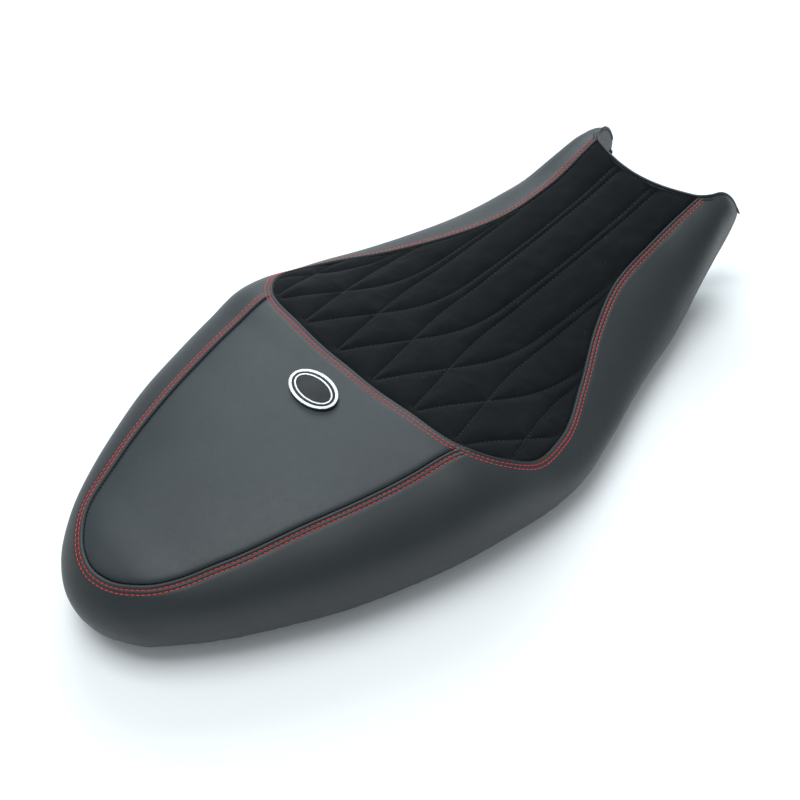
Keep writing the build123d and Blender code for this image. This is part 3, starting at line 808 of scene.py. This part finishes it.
def side_cover():
    inner, outer, facing = cross_pairs()
    half = np.array([column(*parts) for parts in zip(inner, outer, facing)])
    other = half[:-1][::-1] * (1, -1, 1)
    grid = np.concatenate([half, other])
    columns, rows = grid.shape[:2]
    points = grid.reshape(-1, 3)
    faces = []
    for i in range(columns - 1):
        for j in range(rows - 1):
            a = i * rows + j
            faces.append((a, a + 1, a + rows + 1, a + rows))
    normals = normals_of(points, faces)
    if normals[len(NEAR_ROWS)][2] < 0:
        faces = [face[::-1] for face in faces]
        normals = -normals
    upper = np.tile(np.arange(rows) < len(NEAR_ROWS) + TOP_ROWS // 2, columns)
    height = np.zeros(len(points))
    height[upper] = leather_relief(points[upper], True)
    on_horn = smooth_step(points[:, 0], 283.0, 291.0)
    height = height * (1 - on_horn) - 0.8 * on_horn * np.tile(np.arange(rows) == 0, columns)
    from_rim = points[:, 2] - rim(points[:, 0])
    gather = np.exp(-np.maximum(from_rim, 0) / 11.0) * smooth_step(-points[:, 0], -300, -270)
    height += 0.22 * waviness(points, 52.0, 5.0) + 0.55 * gather * waviness(points, 8.0, 9.0)
    points = points + normals * height[:, None]
    points[:, 2] = np.maximum(points[:, 2], RIM - 2.2)
    points, faces = turned_edge(points, faces, 5.0,
                                lambda start, end: start % rows == 0 and end % rows == 0)
    piece = make_piece("side_leather_cover", points, faces, SIDE_LEATHER)
    thicken(piece, 1.3)
    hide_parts("side_cover_panel")
    return piece


# ================================================================ tank wall and piping
WALL_ROWS = 22
WALL_FLOOR = 12.0


def tank_wall():
    edge = even(TANK_EDGE, 2.2)
    high = top(edge[:, 0], edge[:, 1]) - 1.0
    low = np.minimum(np.maximum(WALL_FLOOR, rim(edge[:, 0]) + 0.6), high - 1.5)
    along = np.gradient(edge, axis=0)
    along /= np.linalg.norm(along, axis=1, keepdims=True)
    ahead = np.column_stack([along[:, 1], -along[:, 0]])
    points = []
    for row in range(WALL_ROWS + 1):
        share = row / WALL_ROWS
        height = high + (low - high) * share
        span = (high - low)
        bulge = 0.9 * math.sin(math.pi * share) * np.minimum(1, span / 40) + 0.2
        ring = np.column_stack([edge + ahead * bulge[:, None], height])
        ripple = 0.35 * waviness(ring * (1, 1, 0.25), 9.0, 4.0) * (0.3 + 0.7 * share)
        ring[:, :2] += ahead * ripple[:, None]
        points.append(ring)
    points = np.array(points)
    count = points.shape[1]
    faces = []
    for row in range(WALL_ROWS):
        for place in range(count - 1):
            a = row * count + place
            faces.append((a, a + count, a + count + 1, a + 1))
    flat = points.reshape(-1, 3)
    middle = normals_of(flat, faces)[count // 2 + 8 * count]
    if middle[0] < 0:
        faces = [face[::-1] for face in faces]
    piece = make_piece("tank_wall_cover", flat, faces, SIDE_LEATHER)
    thicken(piece, 1.3)
    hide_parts("tank_wall_panel")
    return piece


PIPING = 1.2


def tank_piping():
    """Leather-covered welt along the edge that meets the tank."""
    edge = even(TANK_EDGE, 1.6)
    return tube("tank_edge_piping", on_top(edge, 0.3), PIPING, SIDE_LEATHER, 12)


# ================================================================ stitches
def sew(name, routes, pitch, length, radius, material, slot, lift=0.55, sides=6):
    """Separate thread stitches along routes of points and normals, joined in one piece."""
    points, faces = [], []
    rings = ((0.0, -1.0, 0.7), (0.14, 0.15, 0.95), (0.38, lift, 1.0), (0.62, lift, 1.0),
             (0.86, 0.15, 0.95), (1.0, -1.0, 0.7))
    for route, normals in routes:
        run = run_of(route)
        for index in range(int(run[-1] // pitch)):
            start = index * pitch + (pitch - length) / 2
            base = len(points)
            ahead = np.array([np.interp(start + length, run, route[:, a])
                              - np.interp(start, run, route[:, a]) for a in range(3)])
            ahead /= max(np.linalg.norm(ahead), 1e-9)
            for share, rise, girth in rings:
                mark = start + share * length
                place = np.array([np.interp(mark, run, route[:, a]) for a in range(3)])
                up = np.array([np.interp(mark, run, normals[:, a]) for a in range(3)])
                side = np.cross(ahead, up)
                place = place + up * rise * radius
                for turn in range(sides):
                    angle = 2 * math.pi * turn / sides
                    points.append(place + radius * girth * (math.cos(angle) * side
                                                            + math.sin(angle) * up))
            for ring in range(len(rings) - 1):
                for turn in range(sides):
                    a = base + ring * sides + turn
                    b = base + ring * sides + (turn + 1) % sides
                    faces.append((a, b, b + sides, a + sides))
            faces.append(tuple(base + turn for turn in reversed(range(sides))))
            faces.append(tuple(base + (len(rings) - 1) * sides + turn for turn in range(sides)))
    return make_piece(name, points, faces, material)


def route(path, height):
    path = even(path, 1.0)
    return on_top(path, height), slope_normal(path)


RED_STITCH = (4.0, 3.3, 0.42)       # pitch, length and thread radius
GROOVE_STITCH = (3.1, 2.3, 0.36)
QUILT_STITCH = (4.2, 3.1, 0.30)
RED_LIE, QUILT_LIE = -0.35, -3.75   # height of the thread over the smooth seat


def seam_stitches():
    """Twin red rows outside the seams and black stitches in the grooves."""
    corner = FRONT_X - HORN_LENGTH
    rows, grooves = [], []
    for place in ROWS:
        line = beside(SUEDE_SEAM, -place)
        line = line[line[:, 0] < corner + 2.5]
        rows.append(route(line, RED_LIE))
    sew("red_suede_seam_stitches", rows, *RED_STITCH, RED_THREAD, "side_leather")
    rows = []
    for place in ROWS:
        line = beside(TAIL_LINE, place)
        clear = near(lifted(line), SUEDE_FINE) > ROWS[1] + 0.8
        rows.append(route(line[clear], RED_LIE))
    sew("red_tail_seam_stitches", rows, *RED_STITCH, RED_THREAD, "side_leather")
    line = beside(TAIL_LINE, -0.9)
    clear = near(lifted(line), SUEDE_FINE) > 5.0
    grooves.append(route(line[clear], -1.0))
    grooves.append(route(beside(SUEDE_SEAM, -0.8), 0.05))
    sew("black_groove_stitches", grooves, *GROOVE_STITCH, BLACK_THREAD, "side_leather")


def quilt_stitches(lines):
    """Dark grey stitches down in the quilting valleys."""
    routes = [route(line, QUILT_LIE) for line in lines]
    sew("quilting_stitches", routes, *QUILT_STITCH, QUILT_THREAD, "suede", sides=5)


# ================================================================ CAD pieces' finishes
FINISHES = {
    "foam_block": SEAT_FOAM, "seat_pan": PAN_PLASTIC, "rear_bracket": COATED_STEEL,
    "front_tongue": COATED_STEEL, "weld_nuts": ZINC, "bracket_inserts": BRASS,
    "tongue_inserts": BRASS, "bracket_screws": ZINC, "tongue_screws": ZINC,
    "cover_staples": ZINC, "badge_pad": TAPE, "badge_plate": BADGE_METAL,
    "badge_enamel": BADGE_ENAMEL, "badge_ring": BADGE_METAL,
    "quilt_foam_layer": SEAT_FOAM, "suede_seat_panel": SUEDE, "tail_top_panel": TOP_LEATHER_PAINTED_LIGHTER,
    "side_cover_panel": SIDE_LEATHER, "tank_wall_panel": SIDE_LEATHER,
}


def finish_cad_pieces():
    for name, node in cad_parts.items():
        finish = FINISHES.get(name, RUBBER)
        for place in node.material_slots:
            place.material = finish


# ================================================================ studio
def studio():
    bpy.context.scene.view_settings.view_transform = "Standard"
    bpy.ops.mesh.primitive_plane_add(size=14, location=(0, 0, 0))
    floor = bpy.context.object
    floor.name = "studio_floor"
    sheet = Sheet("pale_floor")
    cloud = sheet.noise(400.0)
    floor.data.materials.append(sheet.done(
        colour=sheet.mix(cloud, (0.93, 0.93, 0.93), (0.95, 0.95, 0.95)), rough=0.8))

    world = bpy.data.worlds.new("studio_air")
    world.use_nodes = True
    world.node_tree.nodes["Background"].inputs["Color"].default_value = (0.88, 0.96, 1.0, 1)
    world.node_tree.nodes["Background"].inputs["Strength"].default_value = 0.50
    bpy.context.scene.world = world

    def soft_box(name, place, size, power, tone=(1, 1, 1)):
        lamp = bpy.data.lights.new(name, "AREA")
        lamp.shape = "RECTANGLE"
        lamp.size, lamp.size_y = size
        lamp.energy = power
        lamp.color = tone
        box = bpy.data.objects.new(name, lamp)
        box.location = place
        box.rotation_euler = (Vector((0, 0, 0.05)) - Vector(place)).to_track_quat("-Z", "Y").to_euler()
        bpy.context.scene.collection.objects.link(box)

    soft_box("far_soft_box", (1.7, 1.9, 1.9), (2.4, 1.6), 62, (0.84, 0.95, 1.0))
    soft_box("overhead_soft_box", (-0.3, 0.4, 2.6), (1.6, 1.6), 46, (0.93, 0.98, 1.0))


def camera():
    heading, down, roll = math.radians(47.423), math.radians(48.708), math.radians(-0.2746)
    ahead = Vector((math.cos(heading), math.sin(heading), 0))
    forward = ahead * math.cos(down) - Vector((0, 0, math.sin(down)))
    right = Vector((math.sin(heading), -math.cos(heading), 0))
    up = ahead * math.sin(down) + Vector((0, 0, math.cos(down)))
    right, up = (right * math.cos(roll) + up * math.sin(roll),
                 up * math.cos(roll) - right * math.sin(roll))
    lens = bpy.data.cameras.new("studio_camera")
    lens.lens = 49.85
    lens.sensor_width = 36.0
    viewer = bpy.data.objects.new("studio_camera", lens)
    axes = Matrix((right, up, -forward)).transposed().to_4x4()
    viewer.matrix_world = Matrix.Translation((-0.4389, -0.4551, 0.7230)) @ axes
    bpy.context.scene.collection.objects.link(viewer)
    bpy.context.scene.camera = viewer


finish_cad_pieces()
tail_panel()
quilting = suede_panel()
side_cover()
tank_wall()
tank_piping()
seam_stitches()
quilt_stitches(quilting)
studio()
camera()
